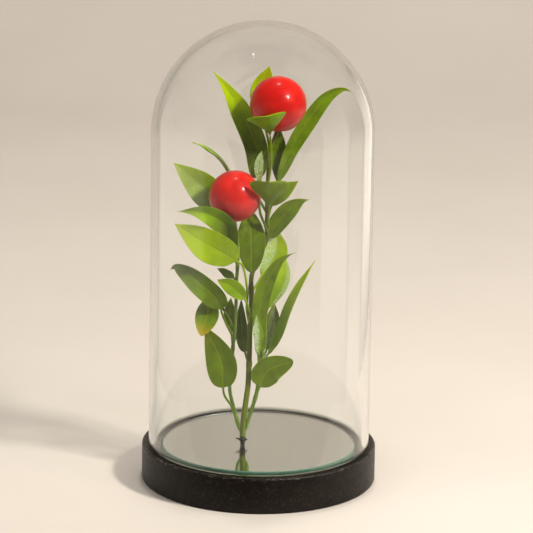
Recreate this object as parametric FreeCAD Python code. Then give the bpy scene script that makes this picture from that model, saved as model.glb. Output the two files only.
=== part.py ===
"""Glass display dome on a black wooden base, with a mirror disc and a berry sprig.

Millimetres. +Z is up, -Y is the front and +X is the viewer's right.
The origin is the centre of the underside, on the surface that the base stands on.
Every size of the sprig is for a sprig in a dome of the reference reach and rise;
sprig_scale fits the whole sprig to the dome that it stands in.
"""
import FreeCAD, Part
import math
import os

from FreeCAD import Vector

UP = Vector(0, 0, 1)
FRONT = Vector(0, -1, 0)

# Glass dome
dome_diameter = 120.0
dome_wall = 3.6
dome_height = 235.0
dome_foot_round = 1.2

# Wooden base
base_margin = 3.5             # ledge that shows outside the dome's foot
base_height = 19.6
base_top_round = 1.0
base_foot_round = 0.8

# Felt pad under the base
pad_thickness = 1.0
pad_recess = 0.6
pad_inset = 5.5               # from the base's outside to the recess
pad_fit = 0.3

# Mirror disc, its silvered back and the adhesive pad under it
mirror_thickness = 2.0
mirror_edge_chamfer = 0.3
mirror_to_dome = 4.0          # gap to the dome's inside wall
mirror_recess = 1.4
mirror_recess_fit = 0.4
backing_thickness = 0.15
adhesive_thickness = 0.4
adhesive_inset = 3.0
stem_hole_fit = 0.15          # round the peg, through mirror, backing and adhesive

# Sprig, as made for the reference reach and rise
sprig_reach = 50.8            # furthest leaf from the dome's axis
sprig_rise = 208.9            # highest leaf tip above the mirror
side_gap = 5.6                # from that leaf to the dome's wall
top_gap = 21.35               # from that tip to the dome's crown
peg_radius = 0.9
peg_depth = 11.0              # into the base, below the mirror's recess
main_stem_radius = 1.65
main_stem_end_radius = 0.9
branch_radius = 0.95
right_branch_radius = 1.1
collar_radius = 1.95
collar_foot_radius = 1.3      # slim foot, down to the mirror
collar_foot_height = 1.4
collar_neck_radius = 1.65     # at its upper rim
collar_top = 4.8
collar_barbs = [(180, 4.2, 0.1), (8, 3.2, -0.1), (250, 3.4, 0.5), (85, 3.3, 0.4)]  # way, reach, lift
barb_root_radius = 0.7
barb_tip_radius = 0.15
barb_start = 1.15             # from the peg's axis to each barb's root
spigot_depth = 5.0            # of a stem's end inside its berry
spigot_fit = 0.05
upper_berry_diameter = 30.2
lower_berry_diameter = 28.0
leaf_thickness = 0.8
leaf_edge_thickness = 0.4
petiole_radius = 0.75

# Worked out
dome_outer_r = dome_diameter / 2
dome_inner_r = dome_outer_r - dome_wall
base_r = dome_outer_r + base_margin
pad_r = base_r - pad_inset
base_bottom = pad_thickness - pad_recess
ledge = base_bottom + base_height
dome_shoulder = ledge + dome_height - dome_outer_r
mirror_r = dome_inner_r - mirror_to_dome
adhesive_bottom = ledge - mirror_recess
backing_bottom = adhesive_bottom + adhesive_thickness
mirror_bottom = backing_bottom + backing_thickness
mirror_top = mirror_bottom + mirror_thickness
crown_room = dome_shoulder + dome_inner_r - mirror_top
reach_scale = (dome_inner_r - side_gap) / sprig_reach
rise_scale = (crown_room - top_gap) / sprig_rise
sprig_scale = min(reach_scale, rise_scale)

# Stems: points on the centre line, each as (x, y, height above the mirror)
peg_x = -8.7
peg_y = -7.5
main_stem_line = [
    (peg_x, peg_y, collar_top), (-8.3, -7.2, 14.0), (-7.4, -6.4, 22.5), (-6.1, -5.4, 34.0),
    (-5.7, -3.0, 49.3), (-5.5, -1.0, 62.8), (-5.0, 0.0, 79.3), (-5.0, 2.0, 92.8),
    (-1.0, 2.5, 104.3), (2.5, 2.5, 112.8), (3.0, 1.0, 127.3), (3.0, 0.0, 146.8),
    (4.0, -1.0, 163.8), (8.0, -2.0, 174.8),
]
left_branch_line = [
    (-9.0, -7.4, 6.8), (-11.0, -7.2, 10.4), (-12.4, -6.8, 15.9), (-14.1, -6.3, 22.0),
    (-15.8, -5.8, 29.1), (-16.0, -5.2, 35.0), (-15.0, -4.5, 43.8), (-14.5, -4.0, 55.3),
    (-13.5, -4.0, 66.3), (-13.0, -4.0, 91.8), (-12.5, -4.0, 105.8), (-13.5, -5.0, 119.3),
    (-14.5, -6.0, 126.0),
]
right_branch_line = [
    (-8.1, -7.2, 8.0), (-6.7, -7.3, 9.9), (-5.9, -7.4, 13.3), (-4.6, -7.6, 17.9),
    (-2.8, -7.6, 24.2), (-1.3, -6.9, 30.4), (-0.2, -5.6, 40.3), (1.2, -2.6, 51.3),
]
upper_berry_height = 189.8
lower_berry_height = 139.8

# Leaves. Each row is: node, the stem it grows from, height of its foot on that stem,
# points of its stalk, points of its blade from neck to tip, blade width,
# where along the blade it is widest, how drawn out its tip is, turn out of the front plane in
# degrees, trough depth.
leaf_rows = [
    ("leaf_upper_left", "main", 116.8, [(2, -0.8, 121.8), (-1, -0.6, 129.8), (-1.6, 2.6, 138.8)],
     [(-2.5, 4, 147.3), (-4, 4.5, 165.3), (-12.5, 3.5, 184.8), (-19, 2, 196.3), (-27.5, 2, 207.3)],
     12.5, 0.3, 1.2, -5, 1.5),
    ("leaf_upper_back", "main", 157.8, [(3.1, 6.5, 165.8)],
     [(0.5, 13, 176.8), (-0.5, 15.5, 191.8), (3, 12, 207.3)], 13.5, 0.5, 1.0, 0, 1.5),
    ("leaf_upper_cup", "main", 143.8, [(4.6, -3.2, 157.8)],
     [(4, -7, 172.3), (3, -18, 181.3), (1.5, -26, 189.3)], 21, 0.8, 0.6, 0, -3),
    ("leaf_upper_right", "main", 134.8, [(6, 1, 140.8)],
     [(8.5, 2, 146.3), (15, 2.5, 163.3), (23.5, 3, 178.3), (33, 3.5, 192), (42, 4, 197), (49, 4, 195)],
     9.5, 0.4, 1.9, -15, 1.5),
    ("leaf_upper_stem", "main", 132.8, [(5.5, 3, 137.8)],
     [(8.5, 4, 144.8), (8.5, 4.5, 158.8), (8, 7, 176.3)], 9, 0.55, 1.0, 0, 1),
    ("bract_upper", "main", 137.8, [],
     [(-1, -2, 146.3), (-2, -3, 155.8), (-0.5, -3, 164.3)], 5, 0.5, 1.1, 0, 0.5),
    ("leaf_left_sickle", "main", 128.3, [(-3, 9.5, 135.8), (-9, 11, 140.8)],
     [(-15.5, 10, 145.8), (-22, 8, 155.8), (-30, 6, 162.8), (-38, 4, 166.3)], 8, 0.45, 1.3, 70, 1),
    ("leaf_left_pale", "left", 109.8, [(-16.5, 2, 117.8)],
     [(-21.5, 9, 127.3), (-32, 7, 140.8), (-48, 2, 155.8)], 17.5, 0.42, 1.0, 0, 1.5),
    ("leaf_left_curled", "left", 99.8, [],
     [(-15, -7.5, 109), (-18, -14.5, 123.6), (-24.5, -19.5, 131.5), (-34.2, -20, 135.1),
      (-45.3, -17, 134)], 11.5, 0.42, 1.5, 0, 2.5),
    ("leaf_middle_cup", "main", 120.8, [],
     [(3.6, -5, 132.3), (3.7, -15, 142.6), (3.6, -24, 153)], 20.5, 0.76, 0.6, 0, -3),
    ("leaf_middle_right", "main", 124.3, [],
     [(5.4, -1.2, 133.6), (11.5, -3, 142.3), (19.7, -4, 148.4)], 8.5, 0.45, 1.2, 0, 1),
    ("leaf_right_blade", "main", 106.8, [],
     [(4.3, 5, 113.8), (8.8, 4.2, 122.7), (15.3, 3, 130.8), (21, 2.2, 135), (26.2, 2, 136.4)],
     10.5, 0.35, 1.8, 0, 1),
    ("leaf_left_bright", "main", 64.8, [(-7.3, -2.5, 74.8), (-7.3, -3.2, 86.8), (-9.5, -6, 99.8)],
     [(-13.6, -9, 104.8), (-28.3, -19.5, 116.6), (-46, -16, 126.8)], 18.5, 0.42, 1.0, 0, 1.5),
    ("leaf_centre", "main", 86.8, [],
     [(-5, -2, 95.8), (-5.5, 0, 113.3), (-6.5, 7, 130.3)], 15.5, 0.5, 1.0, 0, 1),
    ("leaf_right_bright", "main", 83.8, [(-2, 3.5, 87.8)],
     [(0.5, 5, 92.3), (7.8, 8, 104.3), (8.2, 8, 117.8)], 12.5, 0.5, 1.0, 0, 1.5),
    ("leaf_front_right", "right", 48.8, [],
     [(1, -5.4, 52.3), (-0.3, -6.5, 70.9), (0.8, -7, 83.8), (3.8, -8, 93.6), (9, -9, 103.4),
      (14.6, -10, 108.3), (19.1, -10, 110)], 9, 0.35, 2.2, 0, 1),
    ("leaf_right_glossy", "right", 50.8, [(2.6, -1.6, 54.8), (3, -1.5, 66.8)],
     [(4, 0, 75.3), (11, 2, 89.3), (13.5, 3, 103.3)], 8.5, 0.5, 1.0, -20, 1),
    ("leaf_right_spear", "right", 44.8, [],
     [(4.8, -3, 50.8), (8.5, -2, 56.5), (11.6, -1, 64), (15.2, -0.5, 74.1), (20.6, 0, 86.7),
      (25, 1, 95.1), (29.2, 2, 102)], 10.5, 0.4, 1.3, 68, 1),
    ("leaf_left_hooked", "left", 59.5, [(-16.7, -4.5, 64.4), (-19.5, -4.8, 70.5), (-20.9, -5.8, 74.5)],
     [(-21.4, -7, 77), (-23.8, -9.5, 83.2), (-30.5, -12, 90.6), (-38.3, -14, 98),
      (-44.6, -14, 101.8), (-47.3, -13, 101), (-48.5, -12, 98.9)], 12.5, 0.3, 1.7, 0, 2),
    ("leaf_front_small", "main", 69.8, [(-5.6, -5, 74.8)],
     [(-8.6, -6.8, 82.4), (-15.2, -8, 89.5), (-23.4, -9.5, 94)], 9, 0.45, 0.9, 0, 1),
    ("leaf_back_small", "left", 88.8, [],
     [(-14.5, -2.5, 92.8), (-18, -1, 95.2), (-23.6, 0, 97.4)], 6.5, 0.5, 1.0, 30, 0.5),
    ("leaf_left_rounded", "left", 63.8, [(-20, -2, 75)],
     [(-26.2, -3.5, 80.5), (-28.8, -5.5, 72.5), (-31.7, -9, 61.8)], 12.5, 0.5, 0.7, 0, 1.5),
    ("leaf_lower_left", "left", 14, [(-14.9, -7, 21.6), (-18.5, -8, 27.5)],
     [(-19.6, -8.5, 32.7), (-21, -9.5, 48.5), (-29.5, -5.5, 66)], 16.5, 0.42, 0.9, 0, 1.5),
    ("leaf_lower_right", "right", 27, [],
     [(0.3, -7.5, 33.2), (5, -9, 43.2), (18, -8, 48.3)], 15.5, 0.42, 0.55, 0, 1.5),
    ("leaf_left_shaded", "left", 54, [],
     [(-15.5, -1.5, 61.8), (-16.5, 0, 70.8), (-16, 1, 80.8)], 7, 0.5, 1.0, 20, 0.5),
    ("leaf_centre_shaded", "main", 44.8, [],
     [(-8, -1.5, 50.8), (-10, 3, 62.8), (-10.5, 4, 79.3)], 8, 0.4, 1.0, 20, 0.5),
    ("leaf_low_glossy", "right", 41.3, [],
     [(-0.9, -7, 51.3), (-1.6, -10, 63), (-2.2, -11, 75)], 7.5, 0.5, 1.0, -45, 1),
    ("leaf_low_brown", "right", 47.3, [],
     [(3.7, 1.5, 51.4), (6.2, 5.5, 62.5), (7.6, 7, 76.3)], 9, 0.5, 0.9, 0, 1),
]

# Stations along stems and leaves
stem_steps = 3                # lofted sections for each span between two stem points
stem_samples = 40             # points for each span when a height on a stem is looked up
tangent_step = 0.02           # share of a span over which a leaf's direction is taken
stalk_steps = 3               # sections for each span of a leaf's stalk
blade_steps = 9               # sections along a blade
neck_width = 0.06             # share of the blade's width at its neck and tip
neck_fullness = 0.6           # under 1 fills out the blade's neck

os.makedirs("parts", exist_ok=True)


def placed(point):
    """A sprig point (x, y, height above the mirror) in the part's frame."""
    x, y, height = point
    return Vector(x, y, height) * sprig_scale + Vector(0, 0, mirror_top)


def on_curve(points, t):
    """Point at t, counted in spans, on the smooth curve through all the points."""
    span = min(int(t), len(points) - 2)
    u = t - span
    p1 = points[span]
    p2 = points[span + 1]
    p0 = points[span - 1] if span > 0 else p1 * 2 - p2
    p3 = points[span + 2] if span + 2 < len(points) else p2 * 2 - p1
    slope1 = (p2 - p0) * 0.5
    slope2 = (p3 - p1) * 0.5
    h1 = 2 * u**3 - 3 * u**2 + 1
    h2 = u**3 - 2 * u**2 + u
    h3 = 3 * u**2 - 2 * u**3
    h4 = u**3 - u**2
    return p1 * h1 + slope1 * h2 + p2 * h3 + slope2 * h4


def curve_points(points, steps):
    """Even samples of the smooth curve, with so many steps in each span."""
    count = (len(points) - 1) * steps
    return [on_curve(points, i / steps) for i in range(count + 1)]


def disc(radius, bottom, height):
    return Part.makeCylinder(radius, height, Vector(0, 0, bottom))


def peg_hole(bottom, top):
    """The clearance hole round the stem's peg, as a solid to cut away."""
    radius = (peg_radius + stem_hole_fit) * sprig_scale
    centre = placed((peg_x, peg_y, 0))
    return Part.makeCylinder(radius, top - bottom, Vector(centre.x, centre.y, bottom))


def ring_edges(shape, radius, height):
    """Circular edges about the part's axis with this radius, at this height."""
    found = []
    for edge in shape.Edges:
        if edge.Degenerated or not isinstance(edge.Curve, Part.Circle):
            continue
        curve = edge.Curve
        if abs(curve.Radius - radius) < 1e-6 and abs(curve.Center.z - height) < 1e-6:
            found.append(edge)
    return found


def glass_dome():
    """Round-topped cylinder of even wall, open below, with a rounded foot rim."""
    def side_point(radius, angle):
        return Vector(radius * math.cos(angle), 0, dome_shoulder + radius * math.sin(angle))

    quarter = math.pi / 2
    outer_foot = Vector(dome_outer_r, 0, ledge)
    inner_foot = Vector(dome_inner_r, 0, ledge)
    outer_arc = Part.Arc(side_point(dome_outer_r, 0), side_point(dome_outer_r, quarter / 2),
                         side_point(dome_outer_r, quarter))
    inner_arc = Part.Arc(side_point(dome_inner_r, quarter), side_point(dome_inner_r, quarter / 2),
                         side_point(dome_inner_r, 0))
    edges = [
        Part.makeLine(inner_foot, outer_foot),
        Part.makeLine(outer_foot, side_point(dome_outer_r, 0)),
        outer_arc.toShape(),
        Part.makeLine(side_point(dome_outer_r, quarter), side_point(dome_inner_r, quarter)),
        inner_arc.toShape(),
        Part.makeLine(side_point(dome_inner_r, 0), inner_foot),
    ]
    shell = Part.Face(Part.Wire(edges)).revolve(Vector(0, 0, 0), UP, 360)
    rims = ring_edges(shell, dome_outer_r, ledge) + ring_edges(shell, dome_inner_r, ledge)
    return shell.makeFillet(min(dome_foot_round, dome_wall / 3), rims)


def wooden_base():
    """Turned disc with eased edges, a shallow seat for the mirror and one for the felt."""
    body = disc(base_r, base_bottom, base_height)
    body = body.makeFillet(base_top_round, ring_edges(body, base_r, ledge))
    body = body.makeFillet(base_foot_round, ring_edges(body, base_r, base_bottom))
    mirror_seat = disc(mirror_r + mirror_recess_fit, adhesive_bottom, mirror_recess)
    felt_seat = disc(pad_r + pad_fit, base_bottom, pad_recess)
    centre = placed((peg_x, peg_y, 0))
    socket_bottom = adhesive_bottom - peg_depth * sprig_scale
    socket = Part.makeCylinder(peg_radius * sprig_scale, adhesive_bottom - socket_bottom,
                               Vector(centre.x, centre.y, socket_bottom))
    return body.cut([mirror_seat, felt_seat, socket])


def felt_pad():
    return disc(pad_r, 0, pad_thickness)


def mirror_glass():
    plate = disc(mirror_r, mirror_bottom, mirror_thickness)
    plate = plate.makeChamfer(mirror_edge_chamfer, ring_edges(plate, mirror_r, mirror_top))
    return plate.cut(peg_hole(mirror_bottom, mirror_top))


def mirror_backing():
    plate = disc(mirror_r, backing_bottom, backing_thickness)
    return plate.cut(peg_hole(backing_bottom, mirror_bottom))


def adhesive_pad():
    plate = disc(mirror_r - adhesive_inset, adhesive_bottom, adhesive_thickness)
    return plate.cut(peg_hole(adhesive_bottom, backing_bottom))


def tapered_tube(line, start_radius, end_radius):
    """A stem lofted through level circles along its smooth centre line."""
    centres = curve_points([placed(point) for point in line], stem_steps)
    last = len(centres) - 1
    rings = []
    for i, centre in enumerate(centres):
        radius = (start_radius + (end_radius - start_radius) * i / last) * sprig_scale
        rings.append(Part.Wire(Part.Circle(centre, UP, radius).toShape()))
    return Part.makeLoft(rings, True, True)


def spigot(line, radius):
    """The straight end of a stem, inside its berry."""
    return Part.makeCylinder(radius * sprig_scale, spigot_depth * sprig_scale, placed(line[-1]))


def main_stem():
    """Wire stem: a straight peg into the base, the curved stem and the berry's spigot."""
    start = placed((peg_x, peg_y, 0))
    foot = adhesive_bottom - peg_depth * sprig_scale
    joint = placed(main_stem_line[0])
    peg = Part.makeCylinder(peg_radius * sprig_scale, joint.z - foot,
                            Vector(start.x, start.y, foot))
    stem = tapered_tube(main_stem_line, main_stem_radius, main_stem_end_radius)
    return stem.fuse([peg, spigot(main_stem_line, main_stem_end_radius)]).removeSplitter()


def left_branch():
    stem = tapered_tube(left_branch_line, branch_radius, branch_radius)
    return stem.fuse(spigot(left_branch_line, branch_radius)).removeSplitter()


def right_branch():
    return tapered_tube(right_branch_line, right_branch_radius, right_branch_radius)


def barbed_collar():
    """Moulded knob round the peg, on a slim foot, with four blunt barbs."""
    def at(radius, height):
        return placed((peg_x + radius, peg_y, height))

    knob_height = collar_top - collar_foot_height
    middle = collar_foot_height + knob_height / 2
    corners = [
        at(peg_radius, 0), at(collar_foot_radius, 0), at(collar_foot_radius, collar_foot_height),
        at(collar_radius, middle - knob_height / 4), at(collar_radius, middle + knob_height / 4),
        at(collar_neck_radius, collar_top), at(peg_radius, collar_top),
    ]
    profile = Part.Face(Part.makePolygon(corners + corners[:1]))
    axis_point = placed((peg_x, peg_y, 0))
    knob = profile.revolve(axis_point, UP, 360)
    barbs = []
    for angle, length, lift in collar_barbs:
        way = Vector(math.cos(math.radians(angle)), math.sin(math.radians(angle)), lift)
        root = placed((peg_x, peg_y, middle)) + way * (barb_start * sprig_scale)
        barbs.append(Part.makeCone(barb_root_radius * sprig_scale, barb_tip_radius * sprig_scale,
                                   (length - barb_start) * sprig_scale, root, way))
    bore = Part.makeCylinder(peg_radius * sprig_scale, 2 * collar_top * sprig_scale, axis_point)
    return knob.fuse(barbs).cut(bore).removeSplitter()


def berry(line, height, diameter):
    """Round berry, pushed on to the spigot at its stem's end."""
    end = placed(line[-1])
    x, y, _ = line[-1]
    centre = placed((x, y, height))
    ball = Part.makeSphere(diameter / 2 * sprig_scale, centre)
    below = diameter * sprig_scale
    radius = main_stem_end_radius if line is main_stem_line else branch_radius
    hole = Part.makeCylinder((radius + spigot_fit) * sprig_scale,
                             below + (spigot_depth + spigot_fit) * sprig_scale,
                             end - UP * below)
    return ball.cut(hole)


def stem_point(line, height):
    """The point of a stem's centre line at this height above the mirror."""
    samples = curve_points([Vector(*point) for point in line], stem_samples)
    return tuple(min(samples, key=lambda p: abs(p.z - height)))


def blade_share(s, widest, tip_draw):
    """Half width of a blade at s, as a share of its largest: a neck, a belly and a drawn-out tip."""
    bend = math.log(0.5) / math.log(widest)
    if not 0 < s < 1:
        return neck_width
    draw = neck_fullness + (tip_draw - neck_fullness) * s
    return max(math.sin(math.pi * s**bend) ** draw, neck_width)


def leaf_section(centre, along, facing, half_width, trough, middle, edge):
    """Six-sided section of a leaf: a trough with a thicker rib and thinner edges."""
    across = along.cross(facing)
    across.normalize()
    out = across.cross(along)
    corners = [
        centre - across * half_width + out * (trough + edge / 2),
        centre + out * (middle / 2),
        centre + across * half_width + out * (trough + edge / 2),
        centre + across * half_width + out * (trough - edge / 2),
        centre - out * (middle / 2),
        centre - across * half_width + out * (trough - edge / 2),
    ]
    return Part.makePolygon(corners + corners[:1])


def leaf(row):
    """One moulded leaf: a stalk from inside its stem, then a pointed blade."""
    _, stem, foot_height, stalk, blade, width, widest, tip_draw, turn, trough = row
    line = {"main": main_stem_line, "left": left_branch_line, "right": right_branch_line}[stem]
    foot = stem_point(line, foot_height)
    rib = [placed(point) for point in [foot] + stalk + blade]
    chord = placed(blade[-1]) - placed(blade[0])
    facing = FreeCAD.Rotation(chord, -turn).multVec(FRONT)
    neck = 1 + len(stalk)
    tip = len(rib) - 1
    stations = [i / stalk_steps for i in range(neck * stalk_steps)]
    stations += [neck + (tip - neck) * i / blade_steps for i in range(blade_steps + 1)]
    sections = []
    for t in stations:
        centre = on_curve(rib, t)
        before = on_curve(rib, max(t - tangent_step, 0))
        after = on_curve(rib, min(t + tangent_step, tip))
        along = after - before
        along.normalize()
        if t < neck:
            half_width = petiole_radius
            share = 0
            middle = 2 * petiole_radius
            edge = petiole_radius
        else:
            share = blade_share((t - neck) / (tip - neck), widest, tip_draw)
            half_width = width / 2 * share
            middle = leaf_thickness
            edge = leaf_edge_thickness
        sections.append(leaf_section(centre, along, facing, half_width * sprig_scale,
                                     trough * share * sprig_scale, middle * sprig_scale,
                                     edge * sprig_scale))
    return Part.makeLoft(sections, True, True)


def save(node, shape):
    solid = shape.Solids[0] if len(shape.Solids) == 1 else shape
    if solid.Volume < 0:
        solid.reverse()
    if not solid.isValid():
        print("not valid:", node)
    solid.exportStep("parts/" + node + ".step")
    print(f"{node:24s} {len(shape.Solids)} solid  {solid.Volume:10.2f} mm3")


def main():
    save("glass_dome", glass_dome())
    save("wooden_base", wooden_base())
    save("felt_pad", felt_pad())
    save("mirror_glass", mirror_glass())
    save("mirror_backing", mirror_backing())
    save("adhesive_pad", adhesive_pad())
    save("main_stem", main_stem())
    save("left_branch", left_branch())
    save("right_branch", right_branch())
    save("barbed_collar", barbed_collar())
    save("upper_berry", berry(main_stem_line, upper_berry_height, upper_berry_diameter))
    save("lower_berry", berry(left_branch_line, lower_berry_height, lower_berry_diameter))
    for row in leaf_rows:
        save(row[0], leaf(row))


main()
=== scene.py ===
"""Looks of the glass display dome: clear dome, black painted base, mirror disc and berry sprig.

Metres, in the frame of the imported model: +Z up, -Y the front, +X the viewer's right.
Sprig points are written as (x, y, height above the mirror) in millimetres.
"""
import math

import bmesh
import bpy
from mathutils import Matrix, Quaternion, Vector


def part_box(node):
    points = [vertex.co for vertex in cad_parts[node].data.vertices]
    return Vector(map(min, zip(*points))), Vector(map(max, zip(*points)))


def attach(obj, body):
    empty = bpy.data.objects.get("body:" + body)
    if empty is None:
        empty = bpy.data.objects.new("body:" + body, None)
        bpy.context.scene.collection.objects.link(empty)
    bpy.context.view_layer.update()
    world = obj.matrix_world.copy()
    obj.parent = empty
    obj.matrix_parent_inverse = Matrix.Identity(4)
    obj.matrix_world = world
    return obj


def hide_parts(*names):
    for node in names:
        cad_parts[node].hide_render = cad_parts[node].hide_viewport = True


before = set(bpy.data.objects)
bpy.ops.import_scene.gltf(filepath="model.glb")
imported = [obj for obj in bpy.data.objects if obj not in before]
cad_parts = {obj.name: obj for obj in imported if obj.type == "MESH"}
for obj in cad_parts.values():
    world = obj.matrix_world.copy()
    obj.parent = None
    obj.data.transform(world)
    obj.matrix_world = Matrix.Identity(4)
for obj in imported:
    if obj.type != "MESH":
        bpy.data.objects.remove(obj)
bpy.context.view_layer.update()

MM = 0.001
UP = Vector((0, 0, 1))
FRONT = Vector((0, -1, 0))

# Sizes read from the frame
dome_low, dome_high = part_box("glass_dome")
base_low, base_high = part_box("wooden_base")
mirror_low, mirror_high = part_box("mirror_glass")
backing_low, backing_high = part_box("mirror_backing")
adhesive_low, adhesive_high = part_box("adhesive_pad")
felt_low, felt_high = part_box("felt_pad")
mirror_top = mirror_high.z
ledge = base_high.z
dome_r = dome_high.x
base_r = base_high.x
mirror_r = mirror_high.x

# Dome, base and mirror
dome_wall = 3.6 * MM
dome_rim_round = 1.25 * MM
base_top_round = 1.1 * MM
base_foot_round = 0.9 * MM
mirror_bevel = 0.35 * MM
mirror_seat_fit = 0.4 * MM
silver_overlap = 0.02 * MM      # the silver's face lies just inside the plate
silver_inset = 0.05 * MM
felt_gap = 0.3 * MM
felt_round = 0.25 * MM
round_steps = 192               # sides of a turned piece, unless it says otherwise
merge_distance = 1e-7

# Peg hole and the knob at the foot of the sprig
peg = Vector((-8.7, -7.5, 0)) * MM
peg_radius = 0.9 * MM
hole_radius = 1.05 * MM
knob_shoulder = 1.4 * MM
knob_height = 4.8 * MM

# Stems: the swelling where a stalk joins, and how finely the centre line is followed
path_steps = 10
search_steps = 40
joint_reach = 1.3 * MM
joint_swell = 0.22
joint_most = 1.2
inside_knob = 4.7 * MM          # up to here a stem is no thicker than its peg
peg_steps = 6
peg_thickness = 0.9

# Leaves, in millimetres or as shares of the blade
stalk_radius = 0.75
leaf_middle = 0.62
leaf_margin = 0.34
leaf_sides = 44
stalk_steps = 8
blade_steps = 46
vein_pairs = 9.0
vein_sweep = 2.1

# Berries: x, y, height of the middle, diameter
upper_berry = (8.0, -2.0, 189.8, 30.2)
lower_berry = (-14.5, -6.0, 139.8, 28.0)

main_stem_line = [
    (-8.7, -7.5, 4.8), (-8.3, -7.2, 14.0), (-7.4, -6.4, 22.5), (-6.1, -5.4, 34.0),
    (-5.7, -3.0, 49.3), (-5.5, -1.0, 62.8), (-5.0, 0.0, 79.3), (-5.0, 2.0, 92.8),
    (-1.0, 2.5, 104.3), (2.5, 2.5, 112.8), (3.0, 1.0, 127.3), (3.0, 0.0, 146.8),
    (4.0, -1.0, 163.8), (8.0, -2.0, 174.8), (8.0, -2.0, 178.8),
]
left_branch_line = [
    (-9.0, -7.4, 6.8), (-11.0, -7.2, 10.4), (-12.4, -6.8, 15.9), (-14.1, -6.3, 22.0),
    (-15.8, -5.8, 29.1), (-16.0, -5.2, 35.0), (-15.0, -4.5, 43.8), (-14.5, -4.0, 55.3),
    (-13.5, -4.0, 66.3), (-13.0, -4.0, 91.8), (-12.5, -4.0, 105.8), (-13.5, -5.0, 119.3),
    (-14.5, -6.0, 126.0), (-14.5, -6.0, 129.8),
]
right_branch_line = [
    (-8.1, -7.2, 8.0), (-6.7, -7.3, 9.9), (-5.9, -7.4, 13.3), (-4.6, -7.6, 17.9),
    (-2.8, -7.6, 24.2), (-1.3, -6.9, 30.4), (-0.2, -5.6, 40.3), (1.2, -2.6, 51.3),
]
STEMS = {"main": main_stem_line, "left": left_branch_line, "right": right_branch_line}

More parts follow.
